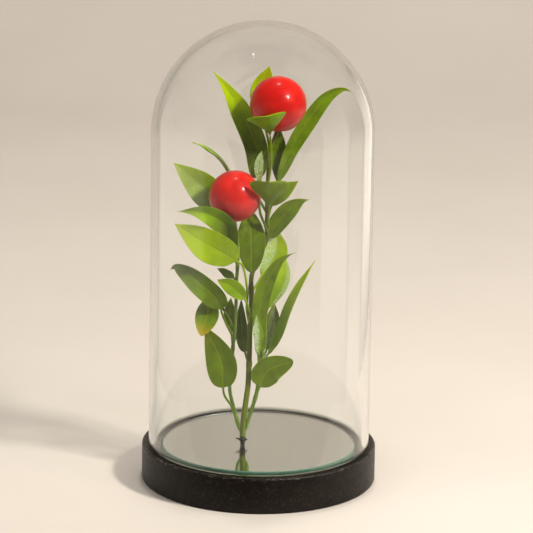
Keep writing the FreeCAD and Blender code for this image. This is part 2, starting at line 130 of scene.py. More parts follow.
# Leaves. Each row is: node, the stem it grows from, height of its foot on that stem,
# points of its stalk, points of its blade from neck to tip, blade width, where along the
# blade it is widest, how drawn out its tip is, turn out of the front plane in degrees, trough
# depth, and its tone at the neck, tone at the tip and yellowing of the tip, each from 0 to 1.
# The two tones paint the leaf's own green together with the light and shade that fall on it: a dark
# tone is partly painted shade, a bright one partly painted light.
LEAVES = [
    ("leaf_upper_left", "main", 116.8, [(2, -0.8, 121.8), (-1, -0.6, 129.8), (-1.6, 2.6, 138.8)],
     [(-2.5, 4, 147.3), (-4, 4.5, 165.3), (-12.5, 3.5, 184.8), (-19, 2, 196.3),
      (-27.5, 2, 207.3)], 12.5, 0.3, 1.2, -5, 1.5, 0.22, 0.95, 0.1),
    ("leaf_upper_back", "main", 157.8, [(3.1, 6.5, 165.8)],
     [(0.5, 13, 176.8), (-0.5, 15.5, 191.8), (3, 12, 207.3)],
     13.5, 0.5, 1.0, 0, 1.5, 0.75, 0.95, 0),
    ("leaf_upper_cup", "main", 143.8, [(4.6, -3.2, 157.8)],
     [(4, -7, 172.3), (3, -18, 181.3), (1.5, -26, 189.3)], 21, 0.8, 0.6, 0, -3, 0.45, 0.6, 0),
    ("leaf_upper_right", "main", 134.8, [(6, 1, 140.8)],
     [(8.5, 2, 146.3), (15, 2.5, 163.3), (23.5, 3, 178.3), (33, 3.5, 192), (42, 4, 197),
      (49, 4, 195)], 9.5, 0.4, 1.9, -15, 1.5, 0.3, 0.42, 0.25),
    ("leaf_upper_stem", "main", 132.8, [(5.5, 3, 137.8)],
     [(8.5, 4, 144.8), (8.5, 4.5, 158.8), (8, 7, 176.3)], 9, 0.55, 1.0, 0, 1, 0.22, 0.24, 0),
    ("bract_upper", "main", 137.8, [],
     [(-1, -2, 146.3), (-2, -3, 155.8), (-0.5, -3, 164.3)], 5, 0.5, 1.1, 0, 0.5, 0.5, 0.6, 0),
    ("leaf_left_sickle", "main", 128.3, [(-3, 9.5, 135.8), (-9, 11, 140.8)],
     [(-15.5, 10, 145.8), (-22, 8, 155.8), (-30, 6, 162.8), (-38, 4, 166.3)],
     8, 0.45, 1.3, 70, 1, 0.4, 0.6, 0),
    ("leaf_left_pale", "left", 109.8, [(-16.5, 2, 117.8)],
     [(-21.5, 9, 127.3), (-32, 7, 140.8), (-48, 2, 155.8)], 17.5, 0.42, 1.0, 0, 1.5, 0.45, 0.8, 0),
    ("leaf_left_curled", "left", 99.8, [],
     [(-15, -7.5, 109), (-18, -14.5, 123.6), (-24.5, -19.5, 131.5), (-34.2, -20, 135.1),
      (-45.3, -17, 134)], 11.5, 0.42, 1.5, 0, 2.5, 0.3, 0.62, 0.1),
    ("leaf_middle_cup", "main", 120.8, [],
     [(3.6, -5, 132.3), (3.7, -15, 142.6), (3.6, -24, 153)],
     20.5, 0.76, 0.6, 0, -3, 0.36, 0.42, 0.1),
    ("leaf_middle_right", "main", 124.3, [],
     [(5.4, -1.2, 133.6), (11.5, -3, 142.3), (19.7, -4, 148.4)],
     8.5, 0.45, 1.2, 0, 1, 0.34, 0.45, 0.2),
    ("leaf_right_blade", "main", 106.8, [],
     [(4.3, 5, 113.8), (8.8, 4.2, 122.7), (15.3, 3, 130.8), (21, 2.2, 135), (26.2, 2, 136.4)],
     10.5, 0.35, 1.8, 0, 1, 0.28, 0.34, 0),
    ("leaf_left_bright", "main", 64.8, [(-7.3, -2.5, 74.8), (-7.3, -3.2, 86.8), (-9.5, -6, 99.8)],
     [(-13.6, -9, 104.8), (-28.3, -19.5, 116.6), (-46, -16, 126.8)],
     18.5, 0.42, 1.0, 0, 1.5, 0.68, 0.92, 0.15),
    ("leaf_centre", "main", 86.8, [],
     [(-5, -2, 95.8), (-5.5, 0, 113.3), (-6.5, 7, 130.3)], 15.5, 0.5, 1.0, 0, 1, 0.24, 0.3, 0),
    ("leaf_right_bright", "main", 83.8, [(-2, 3.5, 87.8)],
     [(0.5, 5, 92.3), (7.8, 8, 104.3), (8.2, 8, 117.8)], 12.5, 0.5, 1.0, 0, 1.5, 0.7, 0.9, 0.1),
    ("leaf_front_right", "right", 48.8, [],
     [(1, -5.4, 52.3), (-0.3, -6.5, 70.9), (0.8, -7, 83.8), (3.8, -8, 93.6), (9, -9, 103.4),
      (14.6, -10, 108.3), (19.1, -10, 110)], 9, 0.35, 2.2, 0, 1, 0.34, 0.3, 0),
    ("leaf_right_glossy", "right", 50.8, [(2.6, -1.6, 54.8), (3, -1.5, 66.8)],
     [(4, 0, 75.3), (11, 2, 89.3), (13.5, 3, 103.3)], 8.5, 0.5, 1.0, -20, 1, 0.5, 0.75, 0),
    ("leaf_right_spear", "right", 44.8, [],
     [(4.8, -3, 50.8), (8.5, -2, 56.5), (11.6, -1, 64), (15.2, -0.5, 74.1), (20.6, 0, 86.7),
      (25, 1, 95.1), (29.2, 2, 102)], 10.5, 0.4, 1.3, 68, 1, 0.42, 0.8, 0.1),
    ("leaf_left_hooked", "left", 59.5,
     [(-16.7, -4.5, 64.4), (-19.5, -4.8, 70.5), (-20.9, -5.8, 74.5)],
     [(-21.4, -7, 77), (-23.8, -9.5, 83.2), (-30.5, -12, 90.6), (-38.3, -14, 98),
      (-44.6, -14, 101.8), (-47.3, -13, 101), (-48.5, -12, 98.9)],
     12.5, 0.3, 2.6, 0, 2, 0.3, 0.26, 0),
    ("leaf_front_small", "main", 69.8, [(-5.6, -5, 74.8)],
     [(-8.6, -6.8, 82.4), (-15.2, -8, 89.5), (-23.4, -9.5, 94)], 9, 0.45, 0.9, 0, 1, 0.6, 0.6, 0.1),
    ("leaf_back_small", "left", 88.8, [],
     [(-14.5, -2.5, 92.8), (-18, -1, 95.2), (-23.6, 0, 97.4)],
     6.5, 0.5, 1.0, 30, 0.5, 0.34, 0.3, 0),
    ("leaf_left_rounded", "left", 63.8, [(-20, -2, 75)],
     [(-26.2, -3.5, 80.5), (-28.8, -5.5, 72.5), (-31.7, -9, 61.8)],
     12.5, 0.5, 0.7, 0, 1.5, 0.2, 0.35, 0.8),
    ("leaf_lower_left", "left", 14, [(-14.9, -7, 21.6), (-18.5, -8, 27.5)],
     [(-19.6, -8.5, 32.7), (-21, -9.5, 48.5), (-29.5, -5.5, 66)],
     16.5, 0.42, 0.9, 0, 1.5, 0.28, 0.2, 0.1),
    ("leaf_lower_right", "right", 27, [],
     [(0.3, -7.5, 33.2), (5, -9, 43.2), (18, -8, 48.3)], 15.5, 0.42, 0.55, 0, 1.5, 0.3, 0.24, 0),
    ("leaf_left_shaded", "left", 54, [],
     [(-15.5, -1.5, 61.8), (-16.5, 0, 70.8), (-16, 1, 80.8)], 7, 0.5, 1.0, 20, 0.5, 0.24, 0.24, 0),
    ("leaf_centre_shaded", "main", 44.8, [],
     [(-8, -1.5, 50.8), (-10, 3, 62.8), (-10.5, 4, 79.3)], 8, 0.4, 1.0, 20, 0.5, 0.22, 0.2, 0),
    ("leaf_low_glossy", "right", 41.3, [],
     [(-0.9, -7, 51.3), (-1.6, -10, 63), (-2.2, -11, 75)], 7.5, 0.5, 1.0, -45, 1, 0.42, 0.42, 0),
    ("leaf_low_brown", "right", 47.3, [],
     [(3.7, 1.5, 51.4), (6.2, 5.5, 62.5), (7.6, 7, 76.3)], 9, 0.5, 0.9, 0, 1, 0.3, 0.2, 0.15),
]

# Leaves with a glittering whitish sheen painted into their colour, a painted highlight: how much,
# and the side to side stretch that has it, from -1 at one margin to 1 at the other
PAINTED_SHEEN = {
    "bract_upper": (0.6, -1.0, 1.0), "leaf_right_bright": (0.6, -1.0, -0.1),
    "leaf_low_glossy": (0.7, -1.0, 0.3), "leaf_low_brown": (0.3, -0.4, 0.2),
    "leaf_right_glossy": (0.4, 0.5, 1.0), "leaf_left_pale": (0.2, -1.0, 0.0),
}


# ---------------------------------------------------------------- shape helpers

def placed(point):
    """A sprig point, in millimetres above the mirror, in the frame."""
    x, y, height = point
    return Vector((x * MM, y * MM, mirror_top + height * MM))


def on_curve(points, t):
    """Point at t, counted in spans, on the smooth curve through all the points."""
    span = min(int(t), len(points) - 2)
    u = t - span
    p1 = points[span]
    p2 = points[span + 1]
    p0 = points[span - 1] if span > 0 else p1 * 2 - p2
    p3 = points[span + 2] if span + 2 < len(points) else p2 * 2 - p1
    slope1 = (p2 - p0) * 0.5
    slope2 = (p3 - p1) * 0.5
    h1 = 2 * u**3 - 3 * u**2 + 1
    h2 = u**3 - 2 * u**2 + u
    h3 = 3 * u**2 - 2 * u**3
    h4 = u**3 - u**2
    return p1 * h1 + slope1 * h2 + p2 * h3 + slope2 * h4


def smooth(low, high, x):
    """0 below low, 1 above high, and an even ramp between."""
    t = min(max((x - low) / (high - low), 0.0), 1.0)
    return t * t * (3 - 2 * t)


def link(name, data):
    """A new object for a mesh or a lamp, in the scene and at the origin."""
    piece = bpy.data.objects.new(name, data)
    bpy.context.scene.collection.objects.link(piece)
    return piece


def close_up(mesh, drop_slivers=False):
    """Merges doubles, turns every face outwards and shades the mesh smooth."""
    work = bmesh.new()
    work.from_mesh(mesh)
    bmesh.ops.remove_doubles(work, verts=work.verts, dist=merge_distance)
    if drop_slivers:
        bmesh.ops.dissolve_degenerate(work, edges=work.edges, dist=merge_distance / 10)
    bmesh.ops.recalc_face_normals(work, faces=work.faces)
    for face in work.faces:
        face.smooth = True
    work.to_mesh(mesh)
    work.free()


def turned(name, profile, centre=Vector((0, 0, 0)), steps=round_steps):
    """A closed turned solid: the profile is a loop of (radius, height) points."""
    count = len(profile)
    verts = []
    for i in range(steps):
        angle = 2 * math.pi * i / steps
        for radius, height in profile:
            verts.append((centre.x + radius * math.cos(angle),
                          centre.y + radius * math.sin(angle), height))
    faces = []
    for i in range(steps):
        here = i * count
        there = ((i + 1) % steps) * count
        for j in range(count):
            k = (j + 1) % count
            faces.append((here + j, there + j, there + k, here + k))
    mesh = bpy.data.meshes.new(name)
    mesh.from_pydata(verts, [], faces)
    close_up(mesh, drop_slivers=True)
    return link(name, mesh)


def arc(centre, radius, start, end, steps):
    """Points of a round stretch of a profile, with angles in degrees."""
    points = []
    for i in range(steps + 1):
        angle = math.radians(start + (end - start) * i / steps)
        points.append((centre[0] + radius * math.cos(angle),
                       centre[1] + radius * math.sin(angle)))
    return points


def run(start, end, steps):
    """Points between two profile corners, both left out."""
    return [(start[0] + (end[0] - start[0]) * i / steps,
             start[1] + (end[1] - start[1]) * i / steps) for i in range(1, steps)]


# ---------------------------------------------------------------- node helpers

def new_material(name):
    """An empty material and its node tree."""
    material = bpy.data.materials.new(name)
    material.use_nodes = True
    material.node_tree.nodes.clear()
    return material, material.node_tree


def add(tree, kind, values=None, **settings):
    """A node with its settings; a socket given as an input's value is linked to it."""
    node = tree.nodes.new(kind)
    for key, value in settings.items():
        setattr(node, key, value)
    for key, value in (values or {}).items():
        if isinstance(value, bpy.types.NodeSocket):
            tree.links.new(value, node.inputs[key])
        else:
            node.inputs[key].default_value = value
    return node


def group(name, inputs, output):
    """A shader node group with one output: its tree, its inputs and the end socket."""
    tree = bpy.data.node_groups.new(name, "ShaderNodeTree")
    tree.interface.new_socket("Vector", in_out="INPUT", socket_type="NodeSocketVector")
    for key, value in inputs.items():
        socket = tree.interface.new_socket(key, in_out="INPUT", socket_type="NodeSocketFloat")
        socket.default_value = value
    tree.interface.new_socket(output, in_out="OUTPUT", socket_type="NodeSocketFloat")
    given = tree.nodes.new("NodeGroupInput").outputs
    return tree, given, tree.nodes.new("NodeGroupOutput").inputs[output]


def split(tree, vector):
    """The X, Y and Z of a vector."""
    return add(tree, "ShaderNodeSeparateXYZ", {0: vector}).outputs


def calc(tree, operation, *values, clamp=False):
    """The result of a maths node."""
    node = add(tree, "ShaderNodeMath", dict(enumerate(values)), operation=operation,
               use_clamp=clamp)
    return node.outputs[0]


def ramp(tree, factor, stops):
    """A colour ramp with (position, colour) stops."""
    node = add(tree, "ShaderNodeValToRGB", {"Fac": factor})
    elements = node.color_ramp.elements
    while len(elements) < len(stops):
        elements.new(0.5)
    for element, (position, colour) in zip(elements, stops):
        element.position = position
        element.color = (*colour, 1)
    return node.outputs["Color"]


def spread(tree, value, low, high, to_low, to_high):
    """Leads a value softly from to_low, where it is low, to to_high, where it is high."""
    return add(tree, "ShaderNodeMapRange",
               {"Value": value, "From Min": low, "From Max": high, "To Min": to_low,
                "To Max": to_high}, interpolation_type="SMOOTHSTEP").outputs["Result"]


def blend_colours(tree, factor, first, second):
    """The first colour where the factor is 0, the second where it is 1."""
    first, second = [colour if isinstance(colour, bpy.types.NodeSocket) else (*colour, 1)
                     for colour in (first, second)]
    node = add(tree, "ShaderNodeMix", {0: factor, 6: first, 7: second}, data_type="RGBA")
    return node.outputs[2]


def bump(tree, height, distance, strength=1.0):
    """A normal that follows a height."""
    return add(tree, "ShaderNodeBump",
               {"Height": height, "Distance": distance, "Strength": strength}).outputs["Normal"]


def surface(tree, shader):
    """Joins a shader to the material's output."""
    add(tree, "ShaderNodeOutputMaterial", {"Surface": shader.outputs[0]})


def finish_with(tree, values):
    """Principled shader with these inputs, joined to the output."""
    surface(tree, add(tree, "ShaderNodeBsdfPrincipled", values))


def grain_group():
    """Two sizes of grain added together, for paint skin, moulded plastic and felt."""
    tree, given, height = group(
        "grain", {"Fine": 1800.0, "Coarse": 500.0, "Coarse Share": 0.5}, "Height")
    fine = add(tree, "ShaderNodeTexNoise",
               {"Vector": given["Vector"], "Scale": given["Fine"],
                "Detail": 3.0, "Roughness": 0.6})
    coarse = add(tree, "ShaderNodeTexNoise",
                 {"Vector": given["Vector"], "Scale": given["Coarse"],
                  "Detail": 2.0, "Roughness": 0.5})
    weighted = calc(tree, "MULTIPLY", coarse.outputs["Fac"], given["Coarse Share"])
    tree.links.new(calc(tree, "ADD", fine.outputs["Fac"], weighted), height)
    return tree


def mottle_group():
    """Soft uneven patches, spread between a low and a high value."""
    tree, given, value = group("mottle", {"Scale": 60.0, "Low": 0.0, "High": 1.0}, "Value")
    patches = add(tree, "ShaderNodeTexNoise",
                  {"Vector": given["Vector"], "Scale": given["Scale"],
                   "Detail": 4.0, "Roughness": 0.55})
    spreader = add(tree, "ShaderNodeMapRange",
                   {"Value": patches.outputs["Fac"], "From Min": 0.3, "From Max": 0.7,
                    "To Min": given["Low"], "To Max": given["High"]})
    tree.links.new(spreader.outputs["Result"], value)
    return tree


GRAIN = grain_group()
MOTTLE = mottle_group()


def grain(tree, place, fine, coarse, share):
    """Height of the shared grain, at these sizes and share of the coarse one."""
    return add(tree, "ShaderNodeGroup",
               {"Vector": place, "Fine": fine, "Coarse": coarse, "Coarse Share": share},
               node_tree=GRAIN).outputs["Height"]


def mottle(tree, place, scale, low=0.0, high=1.0):
    """The shared patches, at this size, running from low to high."""
    return add(tree, "ShaderNodeGroup",
               {"Vector": place, "Scale": scale, "Low": low, "High": high},
               node_tree=MOTTLE).outputs["Value"]


def object_coordinates(tree):
    """Where a point lies in its own piece."""
    return add(tree, "ShaderNodeTexCoord").outputs["Object"]


def from_axis(tree, place):
    """Distance from the dome's upright axis, and the height."""
    x, y, z = split(tree, place)
    squares = calc(tree, "ADD", calc(tree, "POWER", x, 2.0), calc(tree, "POWER", y, 2.0))
    return calc(tree, "SQRT", squares), z


# ---------------------------------------------------------------- materials

def lamp_clear(tree, shader, tint):
    """Lets lamps shine through a glass shader without a solid shadow."""
    path = add(tree, "ShaderNodeLightPath")
    clear = add(tree, "ShaderNodeBsdfTransparent", {"Color": (*tint, 1)})
    surface(tree, add(tree, "ShaderNodeMixShader",
                      {0: path.outputs["Is Shadow Ray"], 1: shader.outputs[0],
                       2: clear.outputs[0]}))


def clear_glass():
    """Drawn glass: faint long waves in the surface and a breath of dust low down."""
    material, tree = new_material("clear_glass")
    place = object_coordinates(tree)
    waves = mottle(tree, place, 22.0)
    height = split(tree, place)["Z"]
    low_down = spread(tree, height, ledge, ledge + 25 * MM, 1.0, 0.0)
    dust = mottle(tree, place, 420.0, 0.0, 0.03)
    roughness = calc(tree, "MULTIPLY", low_down, dust)
    clear = ramp(tree, low_down, [(0.0, (0.985, 0.992, 0.988)), (1.0, (0.95, 0.975, 0.962))])
    foot = spread(tree, height, ledge + 0.6 * MM, ledge + 2.2 * MM, 1.0, 0.0)
    colour = blend_colours(tree, foot, clear, (0.42, 0.47, 0.42))
    shader = add(tree, "ShaderNodeBsdfPrincipled", {
        "Base Color": colour, "Roughness": roughness, "Metallic": 0.0,
        "Transmission Weight": 1.0, "IOR": 1.47,
        "Normal": bump(tree, waves, 0.02 * MM, 0.25)})
    lamp_clear(tree, shader, (0.97, 0.98, 0.975))
    return material


def plate_glass():
    """Float glass of the mirror: green through its edge, with a ground arris."""
    material, tree = new_material("plate_glass")
    place = object_coordinates(tree)
    reach = from_axis(tree, place)[0]
    rim = spread(tree, reach, mirror_r - 0.5 * MM, mirror_r - 0.05 * MM, 0.0, 1.0)
    colour = ramp(tree, rim, [(0.0, (0.95, 0.975, 0.96)), (1.0, (0.62, 0.80, 0.70))])
    clean = mottle(tree, place, 60.0, 0.0, 0.012)
    shader = add(tree, "ShaderNodeBsdfPrincipled", {
        "Base Color": colour, "Roughness": clean, "Metallic": 0.0,
        "Transmission Weight": 1.0, "IOR": 1.52})
    lamp_clear(tree, shader, (0.95, 0.975, 0.96))
    return material


def ground_edge():
    """The plate's ground edge: pale sea green, scattering the light that comes through it."""
    material, tree = new_material("ground_edge")
    place = object_coordinates(tree)
    tone = mottle(tree, place, 150.0)
    grinding = grain(tree, place, 2400.0, 900.0, 0.6)
    colour = ramp(tree, tone, [(0.0, (0.075, 0.17, 0.115)), (1.0, (0.11, 0.23, 0.155))])
    # Seen from inside the plate, the edge is painted near black: painted shade.
    seen = add(tree, "ShaderNodeNewGeometry")
    colour = blend_colours(tree, seen.outputs["Backfacing"], colour, (0.008, 0.010, 0.008))
    rough = mottle(tree, place, 700.0, 0.28, 0.5)
    finish_with(tree, {"Base Color": colour, "Roughness": rough,
                       "Normal": bump(tree, grinding, 0.05 * MM, 0.5)})
    return material


def silvering():
    """Silver behind the plate: a bright metal with the faintest haze."""
    material, tree = new_material("silvering")
    place = object_coordinates(tree)
    haze = mottle(tree, place, 35.0, 0.012, 0.035)
    tone = mottle(tree, place, 18.0)
    colour = ramp(tree, tone, [(0.0, (0.86, 0.86, 0.84)), (1.0, (0.90, 0.895, 0.88))])
    finish_with(tree, {"Base Color": colour, "Metallic": 1.0, "Roughness": haze})
    return material


def black_paint():
    """Textured black paint on turned wood, with light specks painted as glints and lighter specks
    along the top rim, partly wear and partly a painted highlight.
    """
    material, tree = new_material("black_paint")
    place = object_coordinates(tree)
    skin = grain(tree, place, 2100.0, 750.0, 0.9)
    reach, height = from_axis(tree, place)
    outside = spread(tree, reach, base_r - 2.2 * MM, base_r - 0.4 * MM, 0.0, 1.0)
    near_top = spread(tree, height, ledge - 1.6 * MM, ledge - 0.3 * MM, 0.0, 1.0)
    specks = add(tree, "ShaderNodeTexVoronoi", {"Vector": place, "Scale": 1300.0})
    speck = spread(tree, specks.outputs["Distance"], 0.12, 0.34, 1.0, 0.0)
    scatter = mottle(tree, place, 330.0, -0.4, 1.0)
    speck = calc(tree, "MULTIPLY", speck, scatter, clamp=True)
    rim = calc(tree, "MULTIPLY", outside, near_top)
    wear_and_highlight = calc(tree, "MULTIPLY", rim, speck, clamp=True)
    patches = mottle(tree, place, 45.0)
    paint = ramp(tree, patches, [(0.0, (0.0050, 0.0034, 0.0024)), (1.0, (0.0095, 0.0068, 0.0048))])
    # Light specks over the whole paint: painted glints standing in for sparkle.
    painted_glint_colour = blend_colours(tree, calc(tree, "MULTIPLY", speck, 0.55), paint, (0.17, 0.15, 0.125))
    # Lighter specks along the top rim: partly wear, partly a painted highlight.
    colour = blend_colours(tree, wear_and_highlight, painted_glint_colour, (0.46, 0.42, 0.36))
    gloss = mottle(tree, place, 600.0, 0.28, 0.46)
    roughness = calc(tree, "SUBTRACT", gloss, calc(tree, "MULTIPLY", rim, 0.12))
    finish_with(tree, {"Base Color": colour, "Roughness": roughness,
                       "Specular IOR Level": 0.16,
                       "Normal": bump(tree, skin, 0.22 * MM, 0.9)})
    return material


def felt():
    """Black felt with loose fibres."""
    material, tree = new_material("felt")
    place = object_coordinates(tree)
    fibres = grain(tree, place, 3200.0, 700.0, 0.8)
    colour = ramp(tree, fibres, [(0.45, (0.006, 0.006, 0.007)), (0.95, (0.035, 0.034, 0.036))])
    rough = mottle(tree, place, 90.0, 0.9, 1.0)
    finish_with(tree, {"Base Color": colour, "Roughness": rough,
                       "Sheen Weight": 0.35, "Sheen Roughness": 0.5,
                       "Normal": bump(tree, fibres, 0.35 * MM, 0.9)})
    return material


def foam():
    """Pale foam tape with small cells."""
    material, tree = new_material("foam_tape")
    place = object_coordinates(tree)
    cells = add(tree, "ShaderNodeTexVoronoi", {"Vector": place, "Scale": 1600.0})
    colour = ramp(tree, cells.outputs["Distance"], [(0.0, (0.42, 0.41, 0.38)),
                                                    (0.7, (0.64, 0.62, 0.58))])
    rough = mottle(tree, place, 300.0, 0.75, 0.9)
    finish_with(tree, {"Base Color": colour, "Roughness": rough,
                       "Normal": bump(tree, cells.outputs["Distance"], 0.1 * MM, 0.6)})
    return material


def moulded_stem(name, dark, light, gloss):
    """Moulded stem: fine lengthwise streaks and small patches of a lighter tone."""
    material, tree = new_material(name)
    place = object_coordinates(tree)
    stretch = add(tree, "ShaderNodeMapping", {"Vector": place, "Scale": (1.0, 1.0, 0.12)})
    streaks = grain(tree, stretch.outputs[0], 1900.0, 650.0, 0.8)
    patches = mottle(tree, stretch.outputs[0], 260.0)
    colour = ramp(tree, patches, [(0.1, dark), (0.9, light)])
    rough = mottle(tree, place, 380.0, gloss, gloss + 0.16)
    finish_with(tree, {"Base Color": colour, "Roughness": rough,
                       "Subsurface Weight": 0.1, "Subsurface Scale": 0.6 * MM,
                       "Specular IOR Level": 0.3,
                       "Normal": bump(tree, streaks, 0.09 * MM, 0.6)})
    return material


def leaf_plastic():
    """Moulded leaf: midrib and side veins on its own UV map, paler margin that is partly a painted
    rim highlight, tone by attribute that holds painted light and shade.
    """
    material, tree = new_material("leaf_plastic")
    place = object_coordinates(tree)
    layout = add(tree, "ShaderNodeUVMap", uv_map="blade")
    parts = split(tree, layout.outputs[0])
    length = parts["X"]
    side = calc(tree, "ABSOLUTE", calc(tree, "SUBTRACT", calc(tree, "MULTIPLY", parts["Y"], 2.0),
                                       1.0))
    # The tone attribute carries the leaf's own green together with painted light and shade.
    tone = add(tree, "ShaderNodeAttribute", attribute_name="tone").outputs["Fac"]
    yellow = add(tree, "ShaderNodeAttribute", attribute_name="yellow").outputs["Fac"]
    patches = mottle(tree, place, 170.0, -0.09, 0.09)
    toned_and_lit = calc(tree, "ADD", tone, patches, clamp=True)
    green = ramp(tree, toned_and_lit, [(0.0, (0.034, 0.050, 0.0005)), (0.25, (0.088, 0.138, 0.0006)),
                               (0.55, (0.190, 0.310, 0.0007)), (1.0, (0.440, 0.570, 0.0008))])
    ripe = blend_colours(tree, yellow, green, (0.42, 0.30, 0.006))
    midrib = spread(tree, side, 0.0, 0.075, 1.0, 0.0)
    wobble = mottle(tree, place, 300.0, -0.02, 0.02)
    swept = calc(tree, "SUBTRACT", calc(tree, "MULTIPLY", length, vein_pairs),
                 calc(tree, "MULTIPLY", side, vein_sweep))
    wave = calc(tree, "SINE", calc(tree, "MULTIPLY", calc(tree, "ADD", swept, wobble),
                                   2 * math.pi))
    vein = spread(tree, wave, 0.86, 1.0, 0.0, 1.0)
    inner = spread(tree, side, 0.72, 0.95, 1.0, 0.0)
    vein = calc(tree, "MULTIPLY", vein, inner)
    lines = calc(tree, "MAXIMUM", calc(tree, "MULTIPLY", midrib, 0.5),
                 calc(tree, "MULTIPLY", vein, 0.16))
    veined = blend_colours(tree, lines, ripe, (0.24, 0.34, 0.006))
    # A paler band along the margin: partly the leaf's own paler edge, partly a painted rim
    # highlight.
    edge = calc(tree, "MULTIPLY", spread(tree, side, 0.955, 0.995, 0.0, 1.0), 0.55)
    colour = blend_colours(tree, edge, veined, (0.26, 0.38, 0.004))
    # Whitish glitter mixed into the colour: a painted highlight of glossy sheen.
    painted_sheen = add(tree, "ShaderNodeAttribute", attribute_name="painted_sheen").outputs["Fac"]
    glitter = mottle(tree, place, 1500.0, -0.5, 1.6)
    sheen_mask = calc(tree, "MULTIPLY", painted_sheen, glitter, clamp=True)
    colour = blend_colours(tree, sheen_mask, colour, (0.62, 0.70, 0.55))
    skin = grain(tree, place, 2600.0, 900.0, 0.7)
    relief = calc(tree, "SUBTRACT", calc(tree, "MULTIPLY", skin, 0.32),
                  calc(tree, "ADD", calc(tree, "MULTIPLY", midrib, 0.9),
                       calc(tree, "MULTIPLY", vein, 0.5)))
    rough = mottle(tree, place, 420.0, 0.27, 0.43)
    finish_with(tree, {"Base Color": colour, "Roughness": rough,
                       "Subsurface Weight": 0.22, "Subsurface Scale": 1.4 * MM,
                       "Subsurface Radius": (0.6, 1.0, 0.05),
                       "Specular IOR Level": 0.22, "Specular Tint": (1.0, 0.95, 0.5, 1),
                       "Normal": bump(tree, relief, 0.14 * MM, 0.55)})
    return material


def berry_red():
    """Glossy lacquered berry: deeper red in soft patches, tiny pits in the lacquer."""
    material, tree = new_material("berry_red")
    place = object_coordinates(tree)
    patches = mottle(tree, place, 95.0)
    colour = ramp(tree, patches, [(0.0, (0.40, 0.0020, 0.0006)),
                                  (0.6, (0.53, 0.0040, 0.0012)),
                                  (1.0, (0.66, 0.0110, 0.0030))])
    skin = grain(tree, place, 620.0, 250.0, 1.4)
    rough = mottle(tree, place, 420.0, 0.34, 0.46)
    finish_with(tree, {"Base Color": colour, "Roughness": rough,
                       "Subsurface Weight": 0.12, "Subsurface Scale": 2.5 * MM,
                       "Subsurface Radius": (1.0, 0.15, 0.08),
                       "Coat Weight": 0.6, "Coat Roughness": 0.08,
                       "Specular IOR Level": 0.08,
                       "Normal": bump(tree, skin, 0.045 * MM, 0.4)})
    return material


def studio_floor():
    """Warm pale floor, a little uneven."""
    material, tree = new_material("studio_floor")
    place = object_coordinates(tree)
    patches = mottle(tree, place, 6.0)
    colour = ramp(tree, patches, [(0.0, (0.50, 0.445, 0.385)), (1.0, (0.53, 0.475, 0.415))])
    finish_with(tree, {"Base Color": colour, "Roughness": 0.85})
    return material


# ---------------------------------------------------------------- geometry nodes

def flow(name, inputs):
    """A geometry tree with these inputs: the tree, its inputs and the end socket."""
    tree = bpy.data.node_groups.new(name, "GeometryNodeTree")
    tree.interface.new_socket("Geometry", in_out="INPUT", socket_type="NodeSocketGeometry")
    for key, (kind, value) in inputs.items():
        socket = tree.interface.new_socket(key, in_out="INPUT", socket_type=kind)
        if value is not None:
            socket.default_value = value
    tree.interface.new_socket("Geometry", in_out="OUTPUT", socket_type="NodeSocketGeometry")
    given = tree.nodes.new("NodeGroupInput").outputs
    return tree, given, tree.nodes.new("NodeGroupOutput").inputs[0]


def end_flow(tree, geometry, material, end):
    """Shade smooth, realize and give the material: the tail of every tree."""
    shade = add(tree, "GeometryNodeSetShadeSmooth", {0: geometry})
    real = add(tree, "GeometryNodeRealizeInstances", {0: shade.outputs[0]})
    finish = add(tree, "GeometryNodeSetMaterial", {0: real.outputs[0], "Material": material})
    tree.links.new(finish.outputs[0], end)


def stem_tree():
    """A moulded stem: a round tube along a path, with rings where the mould was parted."""
    tree, given, end = flow("moulded_stem", {
        "Sides": ("NodeSocketInt", 22), "Section Spacing": ("NodeSocketFloat", 0.6 * MM),
        "Ring Spacing": ("NodeSocketFloat", 13.5 * MM), "Ring Height": ("NodeSocketFloat", 0.07),
        "Ring Sharpness": ("NodeSocketFloat", 14.0), "Material": ("NodeSocketMaterial", None)})
    even = add(tree, "GeometryNodeResampleCurve",
               {"Curve": given["Geometry"], "Length": given["Section Spacing"]}, mode="LENGTH")
    place = add(tree, "GeometryNodeSplineParameter")
    turns = calc(tree, "DIVIDE", place.outputs["Length"], given["Ring Spacing"])
    crest = calc(tree, "POWER", calc(tree, "PINGPONG", turns, 1.0), given["Ring Sharpness"])
    swell = calc(tree, "MULTIPLY_ADD", crest, given["Ring Height"], 1.0)
    radius = add(tree, "GeometryNodeInputRadius")
    thick = calc(tree, "MULTIPLY", radius.outputs[0], swell)
    ring = add(tree, "GeometryNodeCurvePrimitiveCircle",
               {"Radius": 1.0, "Resolution": given["Sides"]})
    skin = add(tree, "GeometryNodeCurveToMesh",
               {"Curve": even.outputs[0], "Profile Curve": ring.outputs[0], "Scale": thick,
                "Fill Caps": True})
    end_flow(tree, skin.outputs[0], given["Material"], end)
    return tree


